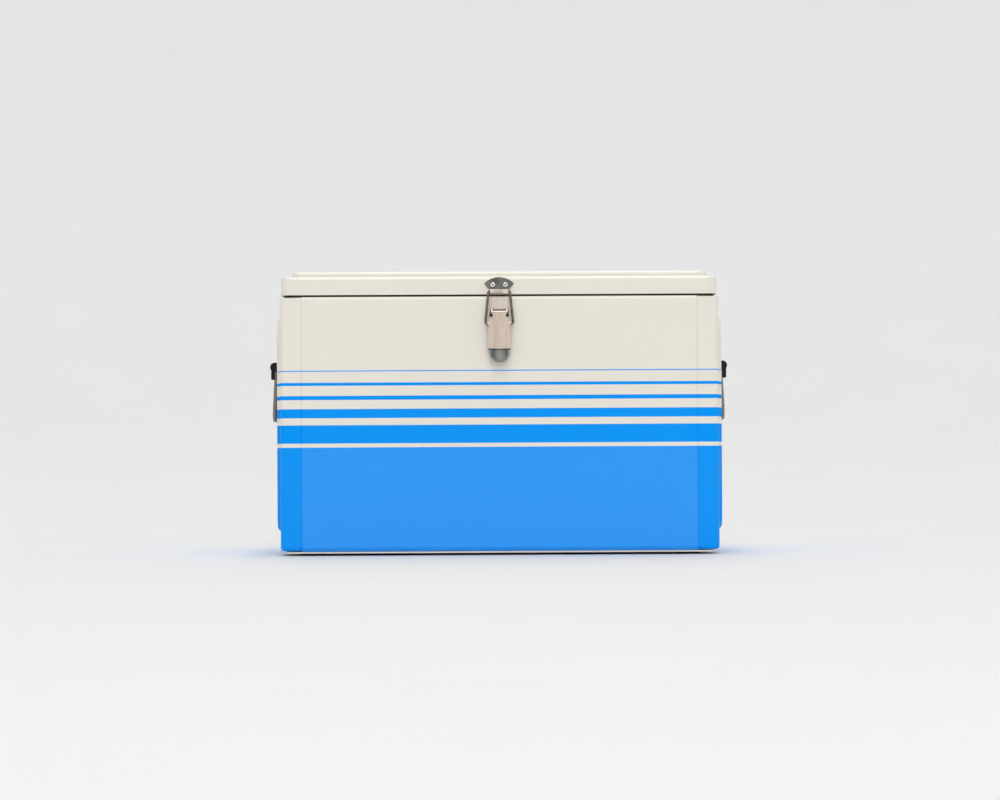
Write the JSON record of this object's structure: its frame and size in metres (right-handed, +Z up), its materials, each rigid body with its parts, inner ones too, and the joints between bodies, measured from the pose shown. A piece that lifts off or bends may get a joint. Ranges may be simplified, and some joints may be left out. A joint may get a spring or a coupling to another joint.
{
  "type": "cooler chest",
  "caption": "Insulated sheet-steel picnic cooler chest with a hinged lid, a front draw latch and a wire bail handle on each end.",
  "frame": {"origin": "on the floor under the middle of the chest, at the bottom centre of its overall box", "axes": "+Z up, +X along the width to the right seen from the front, the latch side faces -Y"},
  "size_m": [0.4804, 0.3288, 0.2912],
  "materials": {
    "banded_enamel": "gloss cream enamel; the sheets carry blue bands that grow into a blue lower half",
    "cream_enamel": "gloss",
    "liner_plastic": "satin",
    "foam": "matte closed-cell foam",
    "seal_rubber": "matte",
    "foot_rubber": "matte",
    "latch_steel": "brushed",
    "strike_steel": "brushed",
    "loop_wire": "satin",
    "bail_steel": "satin",
    "hinge_steel": "satin",
    "rivet_aluminium": "satin",
    "bracket_black": "satin"
  },
  "bodies": {
    "chest": {"front_panel": "banded_enamel", "back_panel": "banded_enamel", "end_panel_left": "banded_enamel", "end_panel_right": "banded_enamel", "bottom_pan": "cream_enamel", "foot_pads": "foot_rubber", "foot_rivets": "rivet_aluminium", "body_insulation": "foam", "body_liner": "liner_plastic", "latch_base": "latch_steel", "latch_base_rivets": "rivet_aluminium", "lever_pin": "loop_wire", "hinge_body_leaf_left": "hinge_steel", "hinge_body_leaf_right": "hinge_steel", "hinge_body_rivets": "rivet_aluminium", "hinge_pin_left": "hinge_steel", "hinge_pin_right": "hinge_steel", "handle_bracket_left_front": "bracket_black", "handle_bracket_left_rear": "bracket_black", "handle_bracket_right_front": "bracket_black", "handle_bracket_right_rear": "bracket_black", "handle_bracket_rivets": "rivet_aluminium"},
    "lid": {"lid_shell": "cream_enamel", "lid_insulation": "foam", "lid_liner": "liner_plastic", "lid_gasket": "seal_rubber", "strike_plate": "strike_steel", "strike_rivets": "rivet_aluminium", "hinge_lid_leaf_left": "hinge_steel", "hinge_lid_leaf_right": "hinge_steel", "hinge_lid_rivets": "rivet_aluminium"},
    "lever": {"latch_lever": "latch_steel"},
    "wire_loop": {"wire_loop": "loop_wire"},
    "handle_left": {"handle_bail_left": "bail_steel"},
    "handle_right": {"handle_bail_right": "bail_steel"}
  },
  "joints": [
    {"name": "lid_hinge", "type": "hinge", "parent": "chest", "child": "lid", "pos_m": [0, 0.1587, 0.26635], "axis": [-1, 0, 0], "range_deg": [0, 105]},
    {"name": "lever_swing", "type": "hinge", "parent": "chest", "child": "lever", "pos_m": [0, -0.1598, 0.2489], "axis": [-1, 0, 0], "range_deg": [0, 120]},
    {"name": "loop_swing", "type": "hinge", "parent": "lever", "child": "wire_loop", "pos_m": [0, -0.1595, 0.2369], "axis": [1, 0, 0], "range_deg": [0, 154]},
    {"name": "left_handle_swing", "type": "hinge", "parent": "chest", "child": "handle_left", "pos_m": [-0.2338, 0, 0.196], "axis": [0, 1, 0], "range_deg": [0, 95]},
    {"name": "right_handle_swing", "type": "hinge", "parent": "chest", "child": "handle_right", "pos_m": [0.2338, 0, 0.196], "axis": [0, -1, 0], "range_deg": [0, 95]}
  ],
  "couplings": [
    {"joint": "loop_swing", "follows": "lever_swing", "ratio": 1.28}
  ]
}
